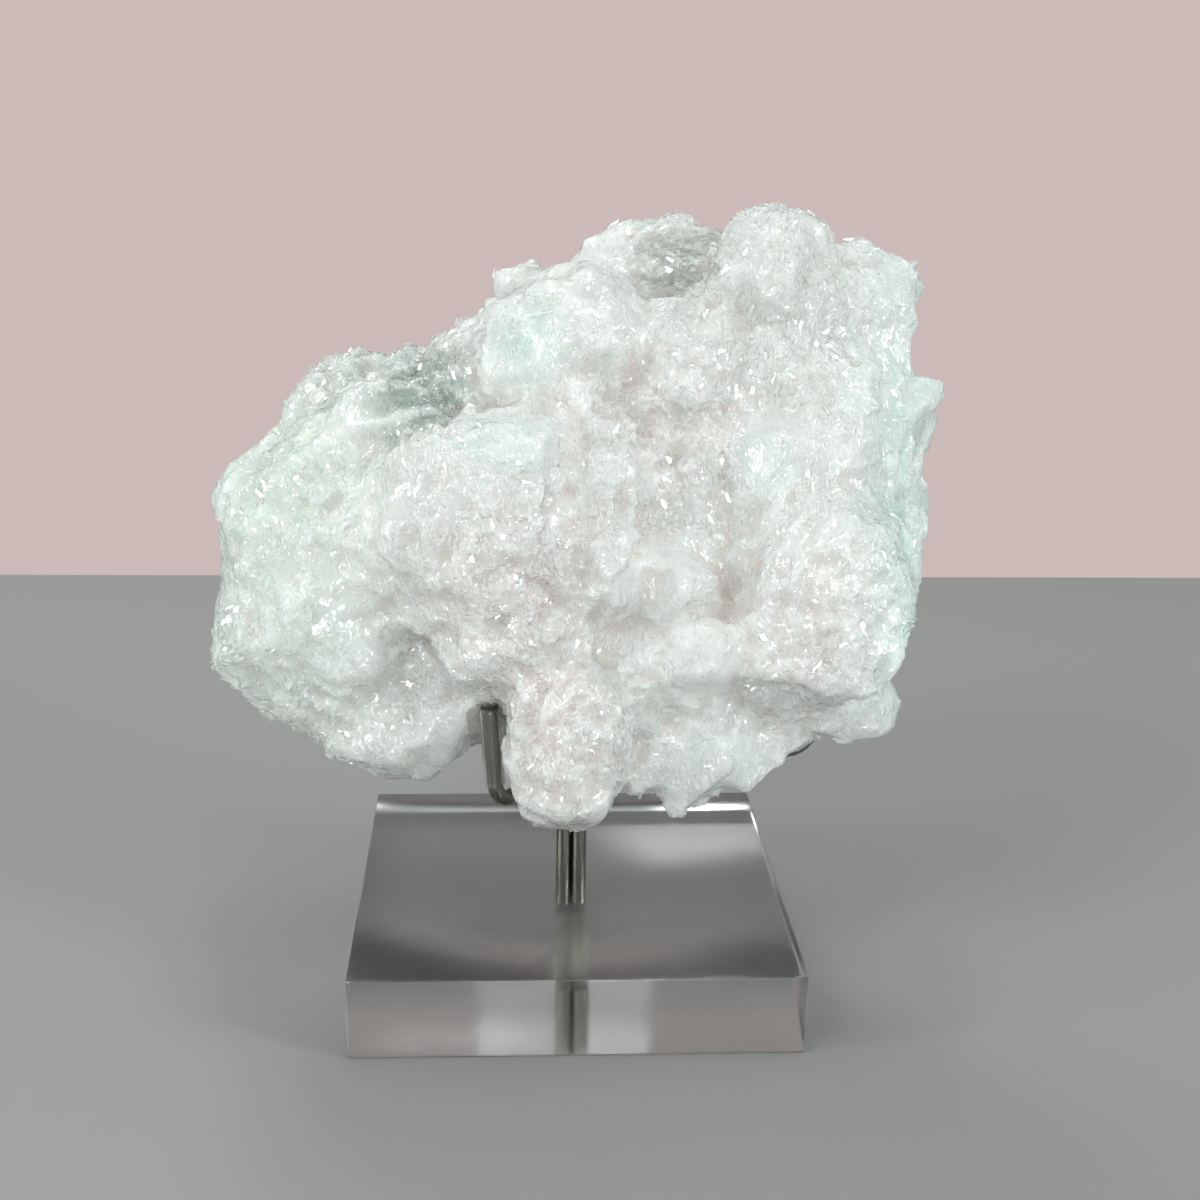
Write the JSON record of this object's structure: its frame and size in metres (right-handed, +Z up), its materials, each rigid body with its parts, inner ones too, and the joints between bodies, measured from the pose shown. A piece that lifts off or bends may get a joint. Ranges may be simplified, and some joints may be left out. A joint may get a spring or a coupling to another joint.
{
  "type": "mangano calcite cluster",
  "caption": "Pale pink calcite crystal cluster held by bent wires above a clear block, to stand on a shelf or table.",
  "frame": {"origin": "middle of the clear block's underside, on the surface that it stands on", "axes": "+Z up, -Y towards the viewer of the cluster's good side, +X to that viewer's right"},
  "size_m": [0.1317, 0.081, 0.1431],
  "materials": {
    "calcite": "gloss",
    "clear_acrylic": "polished",
    "steel_wire": "satin",
    "clear_sleeve": "gloss",
    "label": "matte"
  },
  "bodies": {
    "root": {"calcite_cluster": "calcite", "clear_block": "clear_acrylic", "front_wire": "steel_wire", "right_wire": "steel_wire", "rear_wire": "steel_wire", "front_sleeve": "clear_sleeve", "right_sleeve": "clear_sleeve", "rear_sleeve": "clear_sleeve", "blank_label": "label"}
  },
  "joints": []
}
